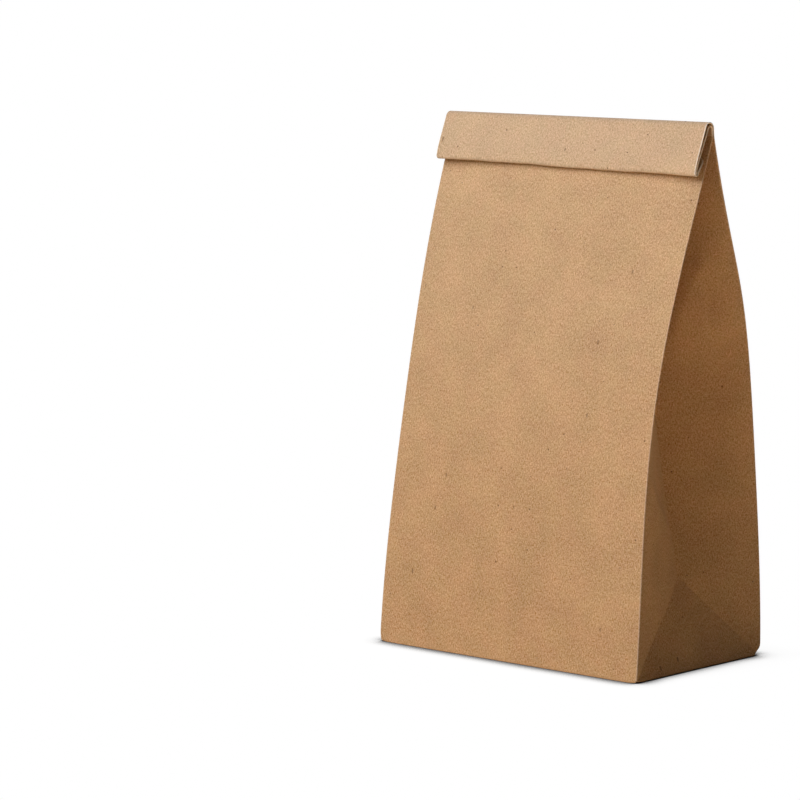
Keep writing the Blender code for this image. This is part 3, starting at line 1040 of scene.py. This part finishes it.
    def make(self, name: str) -> bpy.types.Object:
        """Make the object: the sheet's middle surface with the paper's thickness on it.

        Args:
            name: Name of the object.

        Returns:
            The new object.
        """
        lap, lap_across, lap_up, lap_faces = self.overlap()
        seam, seam_across, seam_up, seam_faces = self.seam()
        points = np.concatenate([self.points.reshape(-1, 3), lap, seam])
        across = np.concatenate([self.across.reshape(-1), lap_across, seam_across])
        up = np.concatenate([self.up.reshape(-1), lap_up, seam_up])
        mesh = bpy.data.meshes.new(name)
        seam_faces = seam_faces + self.points.shape[0] * self.points.shape[1] + len(lap)
        mesh.from_pydata(points.tolist(), [], self.faces() + lap_faces + seam_faces.tolist())
        corner = np.empty(len(mesh.loops), dtype=np.int32)
        mesh.loops.foreach_get("vertex_index", corner)
        first = np.empty(len(mesh.polygons), dtype=np.int32)
        mesh.polygons.foreach_get("loop_start", first)
        layer = mesh.uv_layers.new(name=UV_MAP)
        values = np.stack([self.wrap(across[corner], first), up[corner]], axis=-1)
        layer.data.foreach_set("uv", values.reshape(-1).astype(np.float32))
        # These attributes carry rubbing, a painted highlight on the creases and a painted sheen on the
        # flap.
        for attribute_name, wear in self.wear().items():
            values = np.concatenate([wear.reshape(-1), np.zeros(len(lap) + len(seam))])
            attribute = mesh.attributes.new(attribute_name, "FLOAT", "POINT")
            attribute.data.foreach_set("value", values.astype(np.float32))
        mesh.polygons.foreach_set("use_smooth", np.ones(len(mesh.polygons), dtype=bool))
        ends = np.empty(2 * len(mesh.edges), dtype=np.int32)
        mesh.edges.foreach_get("vertices", ends)
        key = np.array([len(points), 1])
        numbers = np.sort(ends.reshape(-1, 2).astype(np.int64), axis=-1) @ key
        mesh.edges.foreach_set("use_edge_sharp", np.isin(numbers, self.slants() @ key))
        mesh.update()
        piece = bpy.data.objects.new(name, mesh)
        bpy.context.scene.collection.objects.link(piece)
        wall = piece.modifiers.new("Paper", "SOLIDIFY")
        wall.thickness = self.tube.bag.paper
        wall.offset = 0.0
        # An even offset would shoot out where the sheet is folded sharply.
        wall.use_even_offset = False
        return piece

    def wrap(self, across: np.ndarray, first: np.ndarray) -> np.ndarray:
        """Keep the paper coordinates of a face together where it crosses the back's centre.

        Args:
            across: Paper distance round the bag of each face corner.
            first: Number of each face's first corner.

        Returns:
            The same, with negative values moved on by one perimeter in the crossing faces.
        """
        bag = self.tube.bag
        perimeter = 2.0 * (bag.panel_width + bag.gusset_depth)
        span = np.maximum.reduceat(across, first) - np.minimum.reduceat(across, first)
        sizes = np.diff(np.append(first, len(across)))
        crossing = np.repeat(span > perimeter / 2.0, sizes)
        return np.where(crossing & (across < 0.0), across + perimeter, across)


class Maths:
    """A node socket that takes part in arithmetic: an expression adds its Math nodes."""

    def __init__(self, bench: "NodeBench", socket: bpy.types.NodeSocket) -> None:
        """Wrap a socket of the bench's tree."""
        self.bench = bench
        self.socket = socket

    def combine(self, operation: str, first: object, second: object) -> "Maths":
        """Add one Math node of the given operation and wrap its output."""
        node = self.bench.node("ShaderNodeMath", {"operation": operation}, {0: first, 1: second})
        return Maths(self.bench, node.outputs[0])

    def __add__(self, other: object) -> "Maths":
        """Add a value or a socket."""
        return self.combine("ADD", self, other)

    __radd__ = __add__

    def __sub__(self, other: object) -> "Maths":
        """Take a value or a socket away."""
        return self.combine("SUBTRACT", self, other)

    def __rsub__(self, other: object) -> "Maths":
        """Take this away from a value."""
        return self.combine("SUBTRACT", other, self)

    def __mul__(self, other: object) -> "Maths":
        """Multiply by a value or a socket."""
        return self.combine("MULTIPLY", self, other)

    __rmul__ = __mul__

    def clamp(self) -> "Maths":
        """Hold the value between 0 and 1."""
        node = self.bench.node("ShaderNodeClamp", {}, {"Value": self})
        return Maths(self.bench, node.outputs[0])


class NodeBench:
    """Builds the node tree of one material or world."""

    def __init__(self, tree: bpy.types.NodeTree) -> None:
        """Start from an empty tree."""
        self.tree = tree
        tree.nodes.clear()

    def node(self, kind: str, settings: dict[str, object], inputs: dict) -> bpy.types.Node:
        """Add a node of any type.

        Args:
            kind: The node's type.
            settings: Properties to set first.
            inputs: Values or links of its sockets, by name or number.

        Returns:
            The node.
        """
        node = self.tree.nodes.new(kind)
        for key, value in settings.items():
            setattr(node, key, value)
        for key, value in inputs.items():
            socket = node.inputs[key]
            if isinstance(value, Maths):
                self.tree.links.new(value.socket, socket)
            elif isinstance(value, bpy.types.NodeSocket):
                self.tree.links.new(value, socket)
            else:
                socket.default_value = value
        return node

    def value(self, kind: str, settings: dict[str, object], inputs: dict, output: str) -> Maths:
        """Add a node and wrap the named output."""
        return Maths(self, self.node(kind, settings, inputs).outputs[output])

    def absolute(self, value: object) -> Maths:
        """Drop the sign of a value or a socket."""
        return self.value("ShaderNodeMath", {"operation": "ABSOLUTE"}, {0: value}, "Value")

    def mix(self, factor: object, first: object, second: object) -> bpy.types.NodeSocket:
        """Mix two colours by a factor and give the colour's socket."""
        node = self.node("ShaderNodeMix", {"data_type": "RGBA"}, {0: factor, 6: first, 7: second})
        return node.outputs[2]

    def scale(self, colour: bpy.types.NodeSocket, factor: Maths) -> bpy.types.NodeSocket:
        """Make a colour lighter or darker by a factor and give its socket."""
        node = self.node(
            "ShaderNodeVectorMath", {"operation": "SCALE"}, {0: colour, "Scale": factor}
        )
        return node.outputs[0]

    def add(
        self, colour: bpy.types.NodeSocket, more: Triple, factor: Maths
    ) -> bpy.types.NodeSocket:
        """Add a second colour, times a factor, to a colour.

        Args:
            colour: The first colour's socket.
            more: The second colour.
            factor: How much of it, which may be negative.

        Returns:
            The sum's socket.
        """
        share = self.node("ShaderNodeVectorMath", {"operation": "SCALE"}, {0: more, "Scale": factor})
        return self.node(
            "ShaderNodeVectorMath", {"operation": "ADD"}, {0: colour, 1: share.outputs[0]}
        ).outputs[0]

    def climb(self, value: Maths, low: float, high: float) -> Maths:
        """Climb smoothly from 0 to 1 while the value goes from low to high."""
        return self.value(
            "ShaderNodeMapRange", {"interpolation_type": "SMOOTHSTEP"},
            {"Value": value, "From Min": low, "From Max": high}, "Result",
        )


@dataclass(frozen=True)
class KraftFinish:
    """Uncoated brown kraft paper: matte, mottled, with fine fibres and scattered dark specks."""

    bag: FlatBag
    # foot and mouth are the ends of a painted sheen: the paper is drawn lighter towards the mouth, as
    # where light from above falls.
    foot: Triple = (0.543, 0.317, 0.161)
    mouth: Triple = (0.592, 0.393, 0.231)
    pink: Triple = (0.60, 0.345, 0.185)
    green: Triple = (0.555, 0.36, 0.175)
    grain: Triple = (0.51, 0.46, 0.38)
    tint_share: float = 0.3
    cloud_strength: float = 0.26
    mottle_strength: float = 0.12
    grain_strength: float = 0.8
    fibre_strength: float = 0.7
    # The colour of rubbed paper, also used for the painted highlight on the creases and the painted
    # sheen on the flap.
    rubbed: Triple = (0.95, 0.86, 0.76)
    crease_line: Pair = (0.3 * MM, 0.55 * MM)
    strongest_wear_and_highlight: float = 0.95
    speck: Triple = (0.13, 0.06, 0.024)
    roughness: float = 0.85
    sheen_level: float = 0.1
    # Height at which the painted sheen towards the mouth is full.
    painted_sheen_height: float = 250.0 * MM

    def mapped(
        self, bench: NodeBench, place: Maths, stretch: Vector, turn: float
    ) -> bpy.types.NodeSocket:
        """Turn the paper coordinates, stretch them and give them in millimetres."""
        mapping = bench.node(
            "ShaderNodeMapping", {"vector_type": "POINT"},
            {"Vector": place, "Rotation": (0.0, 0.0, turn), "Scale": tuple(stretch / MM)},
        )
        return mapping.outputs[0]

    def noise(
        self, bench: NodeBench, place: Maths, scale: float, detail: float, stretch: Vector, turn: float
    ) -> Maths:
        """Noise on the paper, with grains of about 1 / scale mm, stretched along a direction.

        Args:
            bench: The material's bench.
            place: Paper coordinates in metres.
            scale: Grains to the millimetre.
            detail: Octaves of the noise.
            stretch: Factors on the turned coordinates.
            turn: Angle of the stretch, in radians.

        Returns:
            The noise, about 0.5 on average.
        """
        at = self.mapped(bench, place, stretch, turn)
        return bench.value(
            "ShaderNodeTexNoise",
            {"noise_dimensions": "2D"},
            {"Vector": at, "Scale": scale, "Detail": detail, "Roughness": 0.6},
            "Fac",
        )

    def specks(
        self, bench: NodeBench, place: Maths, cell: float, size: float, share: float,
        stretch: Vector, turn: float,
    ) -> Maths:
        """Small dark specks: in some cells of a loose grid, near the cell's own point.

        Args:
            bench: The material's bench.
            place: Paper coordinates in metres.
            cell: Width of a cell, in mm.
            size: Radius of the largest speck, in mm.
            share: Share of the cells that hold one.
            stretch: Factors on the turned coordinates.
            turn: Angle of the stretch, in radians.

        Returns:
            1 on a speck and 0 off it.
        """
        at = self.mapped(bench, place, stretch, turn)
        cells = bench.node(
            "ShaderNodeTexVoronoi",
            {"voronoi_dimensions": "2D", "feature": "F1"},
            {"Vector": at, "Scale": 1.0 / cell},
        )
        distance = Maths(bench, cells.outputs["Distance"])
        draws = bench.node("ShaderNodeSeparateColor", {}, {"Color": cells.outputs["Color"]})
        chance = Maths(bench, draws.outputs["Red"])
        radius = Maths(bench, draws.outputs["Green"]) * 0.7 + 0.3
        near = (radius - distance * (cell / size)) * 4.0
        chosen = (share - chance) * 40.0
        return near.clamp() * chosen.clamp()

    def colour(self, bench: NodeBench, place: Maths) -> tuple[bpy.types.NodeSocket, Maths]:
        """The paper's colour and its grain.

        The panels are drawn a little paler towards the mouth, a painted sheen of the light from above.
        Wide faint clouds and two sizes of grain make it lighter and darker, and a tint wanders between
        pinkish and greenish.

        Args:
            bench: The material's bench.
            place: Paper coordinates in metres.

        Returns:
            The colour's socket and the grain's value.
        """
        level = Vector((1.0, 1.0, 1.0))
        axes = bench.node("ShaderNodeSeparateXYZ", {}, {0: place})
        up = Maths(bench, axes.outputs[1])
        # Painted sheen: lighter towards the mouth, where the light from above falls on the panels'
        # tops and the flap.
        painted_sheen = bench.climb(up, 0.0, self.painted_sheen_height)
        base = bench.mix(painted_sheen, (*self.foot, 1.0), (*self.mouth, 1.0))
        hue = self.noise(bench, place, 0.07, 3.0, level, 0.4)
        tint = bench.mix(bench.climb(hue, 0.35, 0.65), (*self.pink, 1.0), (*self.green, 1.0))
        base = bench.mix(self.tint_share, base, tint)
        cloud = self.noise(bench, place, 0.045, 2.0, level, 0.0)
        mottle = self.noise(bench, place, 0.3, 3.0, Vector((1.0, 0.8, 1.0)), 0.5)
        grain = self.noise(bench, place, 1.5, 1.0, level, 0.0)
        fibre = self.noise(bench, place, 1.9, 1.0, Vector((1.0, 0.4, 1.0)), 0.9)
        tone = (cloud - 0.5) * self.cloud_strength + (mottle - 0.5) * self.mottle_strength
        fine = (grain - 0.5) * self.grain_strength + (fibre - 0.5) * self.fibre_strength
        base = bench.scale(base, tone + 1.0)
        return bench.add(base, self.grain, fine), grain + fibre * 0.6 + mottle * 0.8

    def rub_and_highlight(self, bench: NodeBench, place: Maths) -> Maths:
        """How much lighter the paper is drawn: a narrow line on each side crease, rubbing plus a
        painted highlight, and the faces' wear and painted sheen.

        Args:
            bench: The material's bench.
            place: Paper coordinates in metres.

        Returns:
            0 on plain paper and 1 on the lightest crease.
        """
        fold = GussetFold(self.bag)
        axes = bench.node("ShaderNodeSeparateXYZ", {}, {0: place})
        across = bench.absolute(axes.outputs[0])
        front = self.bag.half_width + fold.corner_paper / 2.0
        middle = self.bag.half_width + fold.corner_paper + fold.run + fold.crease_paper
        back = 2.0 * middle - front
        gaps = [bench.absolute(across - crease) for crease in (front, back)]
        line = 1.0 - bench.climb(gaps[0].combine("MINIMUM", *gaps), *self.crease_line)
        crease = bench.value("ShaderNodeAttribute", {"attribute_name": CREASE_WEAR_AND_HIGHLIGHT}, {}, "Fac")
        face = bench.value("ShaderNodeAttribute", {"attribute_name": FACE_WEAR_AND_SHEEN}, {}, "Fac")
        return (line * crease + face).clamp() * self.strongest_wear_and_highlight

    def material(self) -> bpy.types.Material:
        """Make the material."""
        material = bpy.data.materials.new("Kraft paper")
        material.use_nodes = True
        bench = NodeBench(material.node_tree)
        place = Maths(bench, bench.node("ShaderNodeUVMap", {"uv_map": UV_MAP}, {}).outputs[0])
        colour, grain = self.colour(bench, place)
        # Draw rubbing, the creases' painted highlight and the flap's painted sheen in the same light
        # colour.
        colour = bench.mix(self.rub_and_highlight(bench, place), colour, (*self.rubbed, 1.0))
        level = Vector((1.0, 1.0, 1.0))
        spots = self.specks(bench, place, 9.0, 0.5, 0.17, level, 0.0)
        dashes = self.specks(bench, place, 9.0, 0.6, 0.08, Vector((1.0, 0.4, 1.0)), 0.7)
        dust = self.specks(bench, place, 3.4, 0.3, 0.1, level, 0.3)
        marks = (spots * 0.8 + dashes * 0.6 + dust * 0.45).clamp()
        colour = bench.mix(marks, colour, (*self.speck, 1.0))
        bump = bench.node(
            "ShaderNodeBump", {}, {"Strength": 0.35, "Distance": 0.05 * MM, "Height": grain}
        )
        shader = bench.node(
            "ShaderNodeBsdfPrincipled", {},
            {
                "Base Color": colour,
                "Roughness": self.roughness,
                "Specular IOR Level": self.sheen_level,
                "Normal": bump.outputs[0],
            },
        )
        bench.node("ShaderNodeOutputMaterial", {}, {"Surface": shader.outputs[0]})
        return material


@dataclass(frozen=True)
class SoftLamp:
    """A square area lamp aimed at the bag."""

    name: str
    place: Triple
    width: float
    power: float
    colour: Triple = (1.0, 1.0, 1.0)
    aim: Triple = (0.0, 0.0, 0.12)
    spread: float = math.pi

    def light(self) -> bpy.types.Object:
        """Hang the lamp."""
        lamp = bpy.data.lights.new(self.name, "AREA")
        lamp.shape = "SQUARE"
        lamp.size = self.width
        lamp.energy = self.power
        lamp.color = self.colour
        lamp.spread = self.spread
        holder = bpy.data.objects.new(self.name, lamp)
        holder.location = self.place
        towards = Vector(self.aim) - Vector(self.place)
        holder.rotation_euler = towards.to_track_quat("-Z", "Y").to_euler()
        bpy.context.scene.collection.objects.link(holder)
        return holder


@dataclass(frozen=True)
class Viewpoint:
    """The camera: its place, its turn and its lens."""

    place: Triple = (1.1594, -1.4157, 0.3513)
    azimuth: float = math.radians(41.753)
    elevation: float = math.radians(7.365)
    roll: float = math.radians(0.108)
    lens: float = 181.485
    sensor: float = 36.0

    def make(self) -> bpy.types.Object:
        """Make the camera and use it for the scene."""
        data = bpy.data.cameras.new("Camera")
        data.lens = self.lens
        data.sensor_width = self.sensor
        data.clip_end = 50.0
        camera = bpy.data.objects.new("Camera", data)
        back = Vector((
            math.sin(self.azimuth) * math.cos(self.elevation),
            -math.cos(self.azimuth) * math.cos(self.elevation),
            math.sin(self.elevation),
        ))
        right = Vector((0.0, 0.0, 1.0)).cross(back).normalized()
        up = back.cross(right)
        turned_right = right * math.cos(self.roll) + up * math.sin(self.roll)
        turned_up = up * math.cos(self.roll) - right * math.sin(self.roll)
        turn = Matrix((turned_right, turned_up, back)).transposed()
        camera.matrix_world = Matrix.Translation(Vector(self.place)) @ turn.to_4x4()
        bpy.context.scene.collection.objects.link(camera)
        bpy.context.scene.camera = camera
        return camera


@dataclass(frozen=True)
class Studio:
    """Plain white floor and surroundings, soft lamps and the camera."""

    floor_radius: float = 6.0
    floor_colour: Triple = (0.85, 0.72, 0.51)
    shown_colour: Triple = (0.12, 0.12, 0.12)
    glow: float = 0.94
    shadow_depth: float = 13.0 * MM
    shadow_reach: float = 30.0 * MM
    shadow_samples: int = 12
    open_sky: Pair = (0.48, 0.98)
    footprint: Pair = (76.0 * MM, 45.5 * MM)
    ambient: float = 0.02
    ambient_colour: Triple = (1.0, 0.78, 0.52)
    lamps: tuple[SoftLamp, ...] = (
        SoftLamp("Front lamp", (-0.3, -1.9, 1.1), 0.7, 17.4, (1.0, 1.01, 1.04)),
        SoftLamp("High front lamp", (-0.2, -1.4, 1.7), 1.0, 20.0, (1.0, 1.01, 1.04)),
        # Lights the floor at the bag's right, which throws warm light on the gusset. Its aim
        # is a hair off straight down, so that the lamp's turn is defined.
        SoftLamp(
            "Floor lamp", (0.75, -0.15, 1.2), 0.4, 3.2, (1.0, 0.71, 0.53), (0.7501, -0.15, 0.0),
            math.radians(45.0),
        ),
        SoftLamp("Back lamp", (-0.9, 1.5, 0.9), 1.0, 8.0),
    )

    def floor(self) -> bpy.types.Object:
        """Lay a round floor that turns into even white away from the bag.

        Returns:
            The floor.
        """
        ring = np.linspace(0.0, 2.0 * math.pi, 97)[:-1]
        points = np.stack(
            [self.floor_radius * np.cos(ring), self.floor_radius * np.sin(ring), 0.0 * ring], axis=-1
        )
        mesh = bpy.data.meshes.new("Floor")
        mesh.from_pydata(points.tolist(), [], [list(range(len(points)))])
        floor = bpy.data.objects.new("Floor", mesh)
        bpy.context.scene.collection.objects.link(floor)
        mesh.materials.append(self.floor_material())
        return floor

    def floor_material(self) -> bpy.types.Material:
        """Matte white for the light, and white with the bag's soft shadow for the eye.

        Close to the bag the eye sees a part that the lamps light, and a glow that dims where
        the bag covers the floor. Further off it is evenly white.
        """
        material = bpy.data.materials.new("White floor")
        material.use_nodes = True
        bench = NodeBench(material.node_tree)
        seen = self.seen(bench)
        matte = bench.node("ShaderNodeBsdfDiffuse", {}, {"Color": (*self.floor_colour, 1.0)})
        shown = bench.node("ShaderNodeBsdfDiffuse", {}, {"Color": (*self.shown_colour, 1.0)})
        cover = bench.value(
            "ShaderNodeAmbientOcclusion", {"samples": self.shadow_samples},
            {"Distance": self.shadow_depth}, "AO",
        )
        uncovered = bench.climb(cover, *self.open_sky)
        glow = bench.node("ShaderNodeEmission", {}, {"Strength": uncovered * self.glow})
        near = bench.node("ShaderNodeAddShader", {}, {0: shown.outputs[0], 1: glow.outputs[0]})
        white = bench.node("ShaderNodeEmission", {}, {"Strength": 1.0})
        place = bench.node("ShaderNodeTexCoord", {}, {}).outputs["Object"]
        axes = bench.node("ShaderNodeSeparateXYZ", {}, {0: place})
        gaps = [
            bench.absolute(axis) - half for axis, half in zip(axes.outputs[:2], self.footprint)
        ]
        gap = gaps[0].combine("MAXIMUM", gaps[0], gaps[1])
        far = bench.climb(gap, 0.0, self.shadow_reach)
        eye = bench.node(
            "ShaderNodeMixShader", {}, {0: far, 1: near.outputs[0], 2: white.outputs[0]}
        )
        both = bench.node(
            "ShaderNodeMixShader", {}, {0: seen, 1: matte.outputs[0], 2: eye.outputs[0]}
        )
        bench.node("ShaderNodeOutputMaterial", {}, {"Surface": both.outputs[0]})
        return material

    def seen(self, bench: NodeBench) -> Maths:
        """1 for the rays that show the background: the camera's, mirrored and passed ones."""
        rays = bench.node("ShaderNodeLightPath", {}, {})
        total = Maths(bench, rays.outputs["Is Camera Ray"])
        total = total + Maths(bench, rays.outputs["Is Glossy Ray"])
        return (total + Maths(bench, rays.outputs["Is Transmission Ray"])).clamp()

    def surround(self) -> None:
        """Fill the world with dim even light that looks white to the camera."""
        world = bpy.data.worlds.new("Surround")
        bpy.context.scene.world = world
        world.use_nodes = True
        bench = NodeBench(world.node_tree)
        seen = self.seen(bench)
        dim = bench.node(
            "ShaderNodeBackground", {},
            {"Color": (*self.ambient_colour, 1.0), "Strength": self.ambient},
        )
        white = bench.node("ShaderNodeBackground", {}, {"Color": (1.0, 1.0, 1.0, 1.0)})
        both = bench.node(
            "ShaderNodeMixShader", {}, {0: seen, 1: dim.outputs[0], 2: white.outputs[0]}
        )
        bench.node("ShaderNodeOutputWorld", {}, {"Surface": both.outputs[0]})

    def make(self) -> None:
        """Set up floor, surroundings, lamps, camera and the plain view."""
        self.floor()
        self.surround()
        for lamp in self.lamps:
            lamp.light()
        Viewpoint().make()
        bpy.context.scene.view_settings.view_transform = "Standard"


class LunchBag:
    """The bag: its sheet of paper, folded and dressed."""

    def __init__(self) -> None:
        """Take the sizes of the bag."""
        self.bag = FlatBag()
        self.tube = PaperTube(self.bag, Stance(), RollSizes(), SheetPlan())

    def make(self) -> bpy.types.Object:
        """Build the sheet, give it its paper finish and put it in the node's place.

        Returns:
            The bag's object.
        """
        piece = self.tube.build(PaperRelief(self.bag)).make("kraft_sheet")
        piece.data.materials.append(KraftFinish(self.bag).material())
        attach(piece, BODY)
        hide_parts(NODE)
        LOG.info("%s: %d points", piece.name, len(piece.data.vertices))
        return piece


def main() -> None:
    """Build the bag and its studio."""
    logging.basicConfig(level=logging.INFO, format="%(name)s: %(message)s")
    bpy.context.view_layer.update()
    Studio().make()
    LunchBag().make()
    bpy.context.view_layer.update()


if __name__ == "__main__":
    main()
